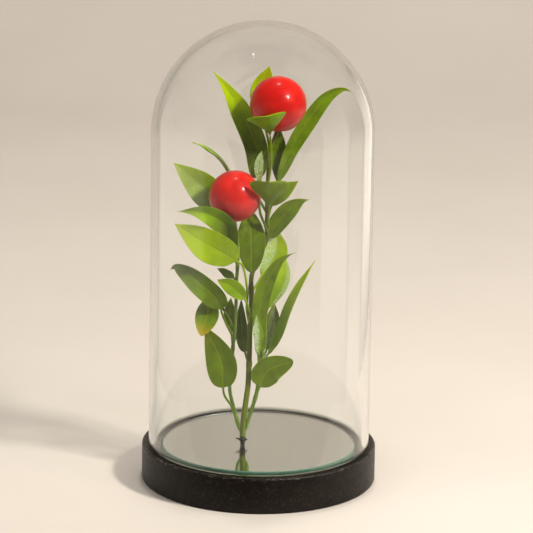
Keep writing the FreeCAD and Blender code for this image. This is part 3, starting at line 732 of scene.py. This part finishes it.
def berry_tree():
    """A berry: a fine ball, pushed in and out by broad lumps, with a dimple at its stem."""
    tree, given, end = flow("lumpy_berry", {
        "Radius": ("NodeSocketFloat", 15 * MM), "Centre": ("NodeSocketVector", None),
        "Lump Scale": ("NodeSocketFloat", 75.0), "Lump Height": ("NodeSocketFloat", 0.6 * MM),
        "Dimple Depth": ("NodeSocketFloat", 0.9 * MM), "Seed": ("NodeSocketFloat", 3.0),
        "Material": ("NodeSocketMaterial", None)})
    ball = add(tree, "GeometryNodeMeshIcoSphere", {"Radius": given["Radius"], "Subdivisions": 6})
    lumps = add(tree, "ShaderNodeTexNoise",
                {"Scale": given["Lump Scale"], "W": given["Seed"], "Detail": 1.0},
                noise_dimensions="4D")
    push = calc(tree, "MULTIPLY", calc(tree, "SUBTRACT", lumps.outputs[0], 0.5),
                given["Lump Height"])
    normal = add(tree, "GeometryNodeInputNormal").outputs[0]
    below = spread(tree, split(tree, normal)["Z"], -0.86, -1.0, 0.0, 1.0)
    total = calc(tree, "SUBTRACT", push, calc(tree, "MULTIPLY", below, given["Dimple Depth"]))
    outward = add(tree, "ShaderNodeVectorMath", {0: normal, "Scale": total}, operation="SCALE")
    shaped = add(tree, "GeometryNodeSetPosition",
                 {0: ball.outputs[0], "Offset": outward.outputs[0]})
    moved = add(tree, "GeometryNodeTransform",
                {0: shaped.outputs[0], "Translation": given["Centre"]})
    end_flow(tree, moved.outputs[0], given["Material"], end)
    return tree


def grown(name, source, tree, values):
    """Runs a geometry tree on an object and returns its result as a plain mesh piece."""
    modifier = source.modifiers.new("grow", "NODES")
    modifier.node_group = tree
    for item in tree.interface.items_tree:
        if item.in_out == "INPUT" and item.name in values:
            modifier[item.identifier] = values[item.name]
    bpy.context.view_layer.update()
    solved = source.evaluated_get(bpy.context.evaluated_depsgraph_get())
    mesh = bpy.data.meshes.new_from_object(solved)
    source.modifiers.clear()
    bpy.data.objects.remove(source)
    mesh.name = name
    close_up(mesh)
    return link(name, mesh)


# ---------------------------------------------------------------- dome, base and mirror

def make_dome(material):
    """Even-walled glass dome with a fire-polished foot rim."""
    shoulder = dome_high.z - dome_r
    inner_r = dome_r - dome_wall
    round_r = dome_rim_round
    foot = dome_low.z
    outside = arc((dome_r - round_r, foot + round_r), round_r, -90, 0, 6)
    outside += run((dome_r, foot + round_r), (dome_r, shoulder), 40)
    outside += arc((0, shoulder), dome_r, 0, 90, 44)
    inside = arc((0, shoulder), inner_r, 90, 0, 44)
    inside += run((inner_r, shoulder), (inner_r, foot + round_r), 40)
    inside += arc((inner_r + round_r, foot + round_r), round_r, 180, 270, 6)
    dome = turned("dome", outside + inside, steps=224)
    dome.data.materials.append(material)
    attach(dome, "dome")
    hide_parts("glass_dome")


def make_base(material):
    """Turned base with eased edges, the mirror's seat on top and the felt's seat below."""
    seat_r = mirror_r + mirror_seat_fit
    seat = adhesive_low.z
    felt_r = felt_high.x + felt_gap
    felt_seat = felt_high.z
    bottom = base_low.z
    profile = [(0, felt_seat), (felt_r * 0.5, felt_seat), (felt_r, felt_seat), (felt_r, bottom)]
    profile += run((felt_r, bottom), (base_r - base_foot_round, bottom), 4)
    profile += arc((base_r - base_foot_round, bottom + base_foot_round), base_foot_round,
                   -90, 0, 8)
    profile += run((base_r, bottom + base_foot_round), (base_r, ledge - base_top_round), 16)
    profile += arc((base_r - base_top_round, ledge - base_top_round), base_top_round, 0, 90, 10)
    profile += run((base_r - base_top_round, ledge), (seat_r, ledge), 8)
    profile += [(seat_r, ledge), (seat_r, seat), (seat_r * 0.5, seat), (0, seat)]
    base = turned("painted_base", profile, steps=256)
    base.data.materials.append(material)
    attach(base, "base")
    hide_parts("wooden_base")


def make_felt(material):
    """Felt disc whose cut edge is a little uneven."""
    low, high = felt_low.z, felt_high.z
    radius = felt_high.x
    profile = [(0, low)] + run((0, low), (radius, low), 12)
    profile += arc((radius - felt_round, low + felt_round), felt_round, -90, 0, 3)
    profile += [(radius, high), (radius * 0.5, high), (0, high)]
    pad = turned("felt_disc", profile, steps=256)
    for vertex in pad.data.vertices:
        reach = math.hypot(vertex.co.x, vertex.co.y)
        if reach > radius * 0.9:
            angle = math.atan2(vertex.co.y, vertex.co.x)
            cut = (0.1 + 0.10 * math.sin(23 * angle) + 0.07 * math.sin(41 * angle + 1.3)) * MM
            vertex.co.x -= cut * math.cos(angle)
            vertex.co.y -= cut * math.sin(angle)
    pad.data.materials.append(material)
    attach(pad, "base")
    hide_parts("felt_pad")


def drilled_disc(name, radius, bottom, top, bevel, steps=224):
    """Flat disc about the axis with an off-centre round hole for the sprig's peg."""
    work = bmesh.new()

    def ring(height, outer, count=steps, centre=Vector((0, 0, 0))):
        return [work.verts.new((centre.x + outer * math.cos(2 * math.pi * i / count),
                                centre.y + outer * math.sin(2 * math.pi * i / count), height))
                for i in range(count)]

    def band(first, second):
        count = len(first)
        for i in range(count):
            j = (i + 1) % count
            work.faces.new((first[i], first[j], second[j], second[i]))

    levels = [ring(bottom, radius)]
    if bevel:
        levels += [ring(top - bevel, radius), ring(top, radius - bevel)]
    else:
        levels += [ring(top, radius)]
    for first, second in zip(levels, levels[1:]):
        band(first, second)
    edge_faces = len(work.faces)
    bores = [ring(height, hole_radius, 48, peg) for height in (bottom, top)]
    band(bores[0], bores[1])
    for outer, inner in ((levels[0], bores[0]), (levels[-1], bores[1])):
        edges = []
        for loop in (outer, inner):
            edges += [work.edges.get((loop[i], loop[(i + 1) % len(loop)]))
                      for i in range(len(loop))]
        bmesh.ops.triangle_fill(work, edges=edges, use_beauty=True)
    bmesh.ops.recalc_face_normals(work, faces=work.faces)
    work.faces.ensure_lookup_table()
    for face in work.faces:
        face.material_index = int(bevel > 0 and face.index < edge_faces)
    mesh = bpy.data.meshes.new(name)
    work.to_mesh(mesh)
    work.free()
    return link(name, mesh)


def make_mirror(glass, edge, silver, tape):
    """Glass plate with a ground edge, silver behind it and the tape that holds it."""
    rows = (
        ("mirror_plate", mirror_r, mirror_low.z, mirror_high.z, mirror_bevel, glass,
         "mirror_glass", "mirror_plate"),
        ("mirror_silver", backing_high.x - silver_inset, backing_low.z,
         backing_high.z + silver_overlap, 0, silver, "mirror_backing", "silvering"),
        ("mirror_tape", adhesive_high.x, adhesive_low.z, adhesive_high.z, 0, tape,
         "adhesive_pad", "adhesive"),
    )
    for name, radius, bottom, top, bevel, material, node, slot in rows:
        piece = drilled_disc(name, radius, bottom, top, bevel)
        piece.data.materials.append(material)
        if bevel:
            piece.data.materials.append(edge)
        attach(piece, "base")
        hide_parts(node)


# ---------------------------------------------------------------- the sprig

def stem_height(points, height):
    """The point of a stem's centre line at this height above the mirror, in the frame."""
    line = [placed(point) for point in points]
    samples = [on_curve(line, i / search_steps)
               for i in range((len(points) - 1) * search_steps + 1)]
    return min(samples, key=lambda p: abs(p.z - mirror_top - height * MM))


def make_stem(name, node, key, foot_radius, end_radius, tree, material, peg_down=0.0):
    """One stem: a path with a swelling where each leaf's stalk joins it, skinned by the tree."""
    points = [placed(point) for point in STEMS[key]]
    centres = [on_curve(points, i / path_steps)
               for i in range((len(points) - 1) * path_steps + 1)]
    if peg_down:
        start = centres[0]
        centres = [Vector((peg.x, peg.y, start.z - peg_down * MM * k / peg_steps))
                   for k in range(peg_steps, 0, -1)] + centres
    feet = [stem_height(STEMS[key], row[2]) for row in LEAVES if row[1] == key]
    curve = bpy.data.curves.new(name, "CURVE")
    curve.dimensions = "3D"
    spline = curve.splines.new("POLY")
    spline.points.add(len(centres) - 1)
    for i, centre in enumerate(centres):
        share = i / (len(centres) - 1)
        radius = foot_radius + (end_radius - foot_radius) * share
        if centre.z < mirror_top + inside_knob:
            radius = min(radius, peg_thickness)
        swell = sum(math.exp(-((centre - foot).length / joint_reach) ** 2) for foot in feet)
        spline.points[i].co = (*centre, 1)
        spline.points[i].radius = radius * MM * (1 + joint_swell * min(swell, joint_most))
    piece = grown(name, link(name + "_path", curve), tree, {"Material": material})
    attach(piece, "base")
    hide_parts(node)


def make_collar(material):
    """Moulded knob at the foot of the stem, with six curved barbs."""
    bottom = mirror_top
    shoulder = mirror_top + knob_shoulder
    top = mirror_top + knob_height
    middle = (shoulder + top) / 2
    profile = [(peg_radius, bottom), (1.25 * MM, bottom), (1.3 * MM, shoulder - 0.2 * MM)]
    profile += arc((0.75 * MM, middle - 0.1 * MM), 1.25 * MM, -60, 55, 12)
    profile += [(1.62 * MM, top - 0.2 * MM), (1.55 * MM, top), (peg_radius, top)]
    knob = turned("foot_knob", profile, centre=peg, steps=40)
    work = bmesh.new()
    work.from_mesh(knob.data)
    sides = 10
    steps = 9
    for angle, length, lift, curl in ((180, 4.2, 0.1, 0.35), (8, 3.0, -0.1, -0.3),
                                      (250, 3.4, 0.5, 0.4), (85, 3.3, 0.4, 0.3),
                                      (128, 2.7, -0.3, 0.2), (312, 2.6, -0.2, -0.2)):
        heading = math.radians(angle)
        way = Vector((math.cos(heading), math.sin(heading), 0))
        across = Vector((-way.y, way.x, 0))
        rings = []
        for k in range(steps + 1):
            s = k / steps
            reach = (1.0 + (length - 1.0) * s) * MM
            rise = (lift * s + curl * s * s) * 1.6 * MM
            centre = Vector((peg.x, peg.y, middle + rise)) + way * reach
            radius = (0.62 * (1 - s) ** 0.7 + 0.05) * MM
            ring = []
            for j in range(sides):
                turn = 2 * math.pi * j / sides
                ring.append(work.verts.new(centre + across * radius * math.cos(turn)
                                           + UP * radius * math.sin(turn)))
            rings.append(ring)
        for first, second in zip(rings, rings[1:]):
            for j in range(sides):
                k = (j + 1) % sides
                work.faces.new((first[j], first[k], second[k], second[j]))
        work.faces.new(rings[0])
        work.faces.new(rings[-1])
    bmesh.ops.recalc_face_normals(work, faces=work.faces)
    for face in work.faces:
        face.smooth = True
    work.to_mesh(knob.data)
    work.free()
    knob.data.materials.append(material)
    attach(knob, "base")
    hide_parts("barbed_collar")


def make_berry(name, node, size, seed, tree, material):
    """One lumpy berry; the seed sets its lumps."""
    x, y, height, diameter = size
    blank = link(name + "_blank", bpy.data.meshes.new(name))
    piece = grown(name, blank, tree, {
        "Radius": diameter / 2 * MM, "Centre": tuple(placed((x, y, height))),
        "Seed": seed, "Material": material})
    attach(piece, "base")
    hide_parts(node)


def blade_share(s, widest, tip_draw):
    """Half width of a blade at s, as a share of its largest."""
    if s <= 0 or s >= 1:
        return 0.0
    bend = math.log(0.5) / math.log(widest)
    return math.sin(math.pi * s**bend) ** (0.6 + (tip_draw - 0.6) * s)


def leaf_point(v, front, s, half_width, share, trough, wave):
    """Offsets (across, out) in millimetres of a blade point; v runs from -1 to 1."""
    across = half_width * v
    out = trough * share * abs(v) ** 1.6
    out += wave * share * abs(v) ** 3
    fade = (1 - s) ** 0.6 * min(half_width / 2.5, 1.0)
    rib = math.exp(-((v * half_width / 0.42) ** 2))
    phase = (s * vein_pairs - abs(v) * vein_sweep) * 2 * math.pi
    vein = max(math.sin(phase), 0.0) ** 10 * (1 - abs(v)) * min(abs(v) * 6, 1.0)
    sides = abs(front) ** 0.42 * (leaf_margin + (leaf_middle - leaf_margin) * (1 - v * v)) / 2
    if front >= 0:
        return across, out + sides - fade * (0.20 * rib + 0.05 * vein)
    return across, out - sides - fade * (0.42 * rib + 0.05 * vein)


def make_leaf(row, number, material):
    """One moulded leaf: round stalk from inside its stem, flowing into a veined blade."""
    (node, key, foot_height, stalk, blade, width, widest, tip_draw, turn, trough,
     neck_tone_and_light, tip_tone_and_light, tip_yellow) = row
    rib = [stem_height(STEMS[key], foot_height)]
    rib += [placed(point) for point in list(stalk) + list(blade)]
    chord = placed(blade[-1]) - placed(blade[0])
    facing = Quaternion(chord.normalized(), math.radians(-turn)) @ FRONT
    neck = 1 + len(stalk)
    tip = len(rib) - 1
    stations = [i / stalk_steps for i in range(neck * stalk_steps)]
    stations += [neck + (tip - neck) * (1 - math.cos(math.pi * i / blade_steps)) / 2
                 for i in range(blade_steps + 1)]
    sides = leaf_sides
    verts = []
    layout = []
    tones_and_light = []
    yellows = []
    painted_sheens = []
    painted_sheen, sheen_from, sheen_to = PAINTED_SHEEN.get(node, (0.0, -1.0, 1.0))
    for t in stations:
        s = max((t - neck) / (tip - neck), 0.0)
        centre = on_curve(rib, t)
        along = (on_curve(rib, min(t + 0.02, tip)) - on_curve(rib, max(t - 0.02, 0))).normalized()
        across = along.cross(facing).normalized()
        out = across.cross(along)
        share = blade_share(s, widest, tip_draw)
        half_width = max(width / 2 * share, 0.05)
        flat = smooth(0.0, 0.10, s)
        wave = 0.35 * math.sin(2 * math.pi * (1.6 * s + 0.37 * number))
        round_r = stalk_radius * (1 - 0.25 * min(t / neck, 1.0)) * (1 - 0.9 * s)
        for j in range(sides):
            angle = 2 * math.pi * j / sides
            v = -math.cos(angle)
            front = math.sin(angle)
            a, o = leaf_point(v, front, s, half_width, share, trough, wave)
            if flat < 1:
                wide = max(half_width, round_r)
                a = a * flat + wide * v * (1 - flat)
                o = o * flat + round_r * front * (1 - flat)
            verts.append(centre + (across * a + out * o) * MM)
            layout.append((s, (v + 1) / 2))
            # Tones from neck to tip: the leaf's own green with painted light and shade in it.
            tones_and_light.append(neck_tone_and_light + (tip_tone_and_light - neck_tone_and_light) * smooth(0.25, 0.75, s))
            yellows.append(tip_yellow * smooth(0.62, 0.98, s))
            within = smooth(sheen_from - 0.2, sheen_from, v) * smooth(sheen_to + 0.2, sheen_to, v)
            painted_sheens.append(painted_sheen * within * smooth(0.02, 0.2, s))
    rings = len(stations)
    faces = []
    for i in range(rings - 1):
        for j in range(sides):
            k = (j + 1) % sides
            faces.append((i * sides + j, (i + 1) * sides + j, (i + 1) * sides + k, i * sides + k))
    for ring, at in ((0, rib[0]), (rings - 1, rib[-1])):
        pole = len(verts)
        verts.append(at.copy())
        layout.append((0.0 if ring == 0 else 1.0, 0.5))
        tones_and_light.append(tones_and_light[ring * sides])
        yellows.append(yellows[ring * sides])
        painted_sheens.append(painted_sheens[ring * sides])
        for j in range(sides):
            faces.append((ring * sides + j, ring * sides + (j + 1) % sides, pole))
    mesh = bpy.data.meshes.new(node)
    mesh.from_pydata(verts, [], faces)
    uv = mesh.uv_layers.new(name="blade")
    for loop in mesh.loops:
        uv.data[loop.index].uv = layout[loop.vertex_index]
    for name, values in (("tone", tones_and_light), ("yellow", yellows), ("painted_sheen", painted_sheens)):
        attribute = mesh.attributes.new(name, "FLOAT", "POINT")
        attribute.data.foreach_set("value", values)
    close_up(mesh)
    piece = link(node + "_blade", mesh)
    mesh.materials.append(material)
    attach(piece, "base")
    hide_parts(node)


# ---------------------------------------------------------------- studio

# Lamps: name, azimuth and elevation in degrees, distance, size, watts and colour
SUNNY = (1.0, 0.96, 0.90)
WHITE = (1.0, 1.0, 1.0)
LAMPS = (
    ("key", 54, 42, 1.15, (0.15, 0.15), 19.0, SUNNY),
    ("top_light", 176, 77, 1.15, (0.11, 0.11), 5.0, SUNNY),
    ("fill_left", -60, 40, 1.5, (1.2, 1.0), 8.0, WHITE),
    ("fill_front", 10, 55, 1.5, (1.2, 1.0), 6.0, WHITE),
    ("fill_back", 160, 50, 1.5, (1.2, 1.0), 7.0, WHITE),
    ("top_glint", -142.4, 77.3, 1.3, (0.03, 0.03), 0.08, WHITE),
)

# Upright glow cards beside the dome: name, x, front and back edge, strength
card_foot = 0.001
card_height = 0.30
GLOW_CARDS = (
    ("left_card", -0.21, -0.17, 0.137, 1.15),
    ("right_card", 0.21, -0.147, 0.0, 1.95),
    ("right_back_card", 0.21, 0.088, 0.30, 2.2),
)

# Dark flag on the floor, in front of the dome
flag_height = 0.003
FLAG_CORNERS = ((-0.7, -1.3, flag_height), (0.7, -1.3, flag_height),
                (0.7, -0.075, flag_height), (-0.7, -0.075, flag_height))

# Even light from all round
SURROUND = (1.0, 0.94, 0.86, 1.0)
surround_strength = 0.11

# Camera, in millimetres and degrees, with its distance and clip in metres
camera_lens = 370.9
camera_elevation = 16.63
camera_lean = 0.82
camera_distance = 2.965
camera_clip = 20.0
camera_target = Vector((2.94, 0, 119.7)) * MM


def make_stage():
    """Pale floor that sweeps up into a backdrop behind the object."""
    half_width, front, back, sweep, top = 3.0, -2.6, 0.75, 0.5, 2.6
    outline = [(front, 0.0), (-0.5, 0.0), (back, 0.0)]
    for i in range(1, 13):
        angle = math.radians(90 * i / 12)
        outline.append((back + sweep * math.sin(angle), sweep * (1 - math.cos(angle))))
    outline.append((back + sweep, top))
    verts = [(x, y, z) for y, z in outline for x in (-half_width, half_width)]
    faces = [(2 * i, 2 * i + 1, 2 * i + 3, 2 * i + 2) for i in range(len(outline) - 1)]
    mesh = bpy.data.meshes.new("studio_floor")
    mesh.from_pydata(verts, [], faces)
    for face in mesh.polygons:
        face.use_smooth = True
    floor = link("studio_floor", mesh)
    mesh.materials.append(studio_floor())


def glow(name, strength):
    """Light of a reflection card: full in the middle, fading towards its edges."""
    material, tree = new_material(name)
    layout = add(tree, "ShaderNodeUVMap", uv_map="card")
    parts = split(tree, layout.outputs[0])
    near = spread(tree, parts["X"], 0.0, 0.14, 0.0, 1.0)
    far = spread(tree, parts["X"], 0.86, 1.0, 1.0, 0.0)
    top = spread(tree, parts["Y"], 0.6, 1.0, 1.0, 0.0)
    foot = spread(tree, parts["Y"], 0.0, 0.35, 0.1, 1.0)
    level = calc(tree, "MULTIPLY", calc(tree, "MULTIPLY", near, far),
                 calc(tree, "MULTIPLY", top, foot))
    light = add(tree, "ShaderNodeEmission", {
        "Color": (1.0, 0.92, 0.82, 1), "Strength": calc(tree, "MULTIPLY", level, strength)})
    surface(tree, light)
    return material


def flag_cloth():
    """Dark brown cloth."""
    material, tree = new_material("flag_cloth")
    weave = mottle(tree, object_coordinates(tree), 40.0)
    colour = ramp(tree, weave, [(0.0, (0.020, 0.014, 0.009)), (1.0, (0.032, 0.022, 0.014))])
    finish_with(tree, {"Base Color": colour, "Roughness": 0.9, "Specular IOR Level": 0.1})
    return material


def make_card(name, corners, material):
    """A flat card that is seen only where the dome and the base reflect it."""
    mesh = bpy.data.meshes.new(name)
    mesh.from_pydata(corners, [], [(0, 1, 2, 3)])
    uv = mesh.uv_layers.new(name="card")
    for loop, place in zip(mesh.loops, ((0, 0), (1, 0), (1, 1), (0, 1))):
        uv.data[loop.index].uv = place
    card = link(name, mesh)
    mesh.materials.append(material)
    card.visible_camera = False
    card.visible_diffuse = False
    card.visible_transmission = False
    card.visible_shadow = False


def area_light(name, azimuth, elevation, distance, size, watts, colour):
    """A soft panel aimed at the middle of the dome; azimuth 0 is the viewer's side."""
    data = bpy.data.lights.new(name, "AREA")
    data.shape = "RECTANGLE"
    data.size, data.size_y = size
    data.energy = watts
    data.color = colour
    lamp = link(name, data)
    a, e = math.radians(azimuth), math.radians(elevation)
    way = Vector((math.sin(a) * math.cos(e), -math.cos(a) * math.cos(e), math.sin(e)))
    middle = Vector((0, 0, (ledge + dome_high.z) / 2))
    lamp.location = middle + way * distance
    lamp.rotation_euler = (-way).to_track_quat("-Z", "Y").to_euler()
    lamp.visible_camera = False
    return lamp


def make_lights():
    """Key from the right, weak fill all round, and cards for the bands in the glass."""
    lamps = {name: area_light(name, *row) for name, *row in LAMPS}
    unlit = bpy.data.collections.new("not_lit_by_key")
    unlit.objects.link(bpy.data.objects["dome"])
    for name in ("key", "top_light"):
        lamps[name].light_linking.receiver_collection = unlit
    unlit.collection_objects[0].light_linking.link_state = "EXCLUDE"
    for name in ("fill_left", "fill_front", "fill_back"):
        lamps[name].visible_glossy = False
        lamps[name].visible_transmission = False
    for name, x, front, back, strength in GLOW_CARDS:
        make_card(name, [(x, front, card_foot), (x, back, card_foot), (x, back, card_height),
                         (x, front, card_height)], glow(name, strength))
    make_card("front_flag", FLAG_CORNERS, flag_cloth())
    world = bpy.data.worlds.new("studio")
    world.use_nodes = True
    background = world.node_tree.nodes["Background"]
    background.inputs["Color"].default_value = SURROUND
    background.inputs["Strength"].default_value = surround_strength
    bpy.context.scene.world = world
    bpy.context.scene.view_settings.view_transform = "Standard"


def make_camera():
    """Long lens, a little above the dome, with a slight clockwise lean."""
    data = bpy.data.cameras.new("camera")
    data.sensor_width = 36.0
    data.lens = camera_lens
    data.clip_end = camera_clip
    camera = link("camera", data)
    elevation = math.radians(camera_elevation)
    away = Vector((0, -math.cos(elevation), math.sin(elevation)))
    turn = (-away).to_track_quat("-Z", "Y").to_matrix().to_4x4()
    camera.matrix_world = (Matrix.Translation(camera_target + away * camera_distance) @ turn
                           @ Matrix.Rotation(math.radians(camera_lean), 4, "Z"))
    bpy.context.scene.camera = camera


def make_sprig():
    """Three stems, the knob at their foot, two berries and all the leaves."""
    leaf = leaf_plastic()
    berry = berry_red()
    bark = moulded_stem("olive_stem", (0.058, 0.078, 0.002), (0.125, 0.160, 0.003), 0.34)
    green = moulded_stem("green_stem", (0.055, 0.105, 0.010), (0.155, 0.235, 0.020), 0.28)
    tube = stem_tree()
    ball = berry_tree()
    make_stem("wire_stem", "main_stem", "main", 1.68, 0.85, tube, bark, 5.6)
    make_stem("left_shoot", "left_branch", "left", 1.0, 0.88, tube, green)
    make_stem("right_shoot", "right_branch", "right", 1.12, 1.0, tube, green)
    make_collar(moulded_stem("foot_moulding", (0.005, 0.006, 0.002), (0.020, 0.022, 0.007), 0.12))
    make_berry("berry_high", "upper_berry", upper_berry, 3.0, ball, berry)
    make_berry("berry_low", "lower_berry", lower_berry, 8.4, ball, berry)
    for number, row in enumerate(LEAVES):
        make_leaf(row, number, leaf)


make_camera()
make_stage()
make_dome(clear_glass())
make_lights()
make_base(black_paint())
make_felt(felt())
make_mirror(plate_glass(), ground_edge(), silvering(), foam())
make_sprig()
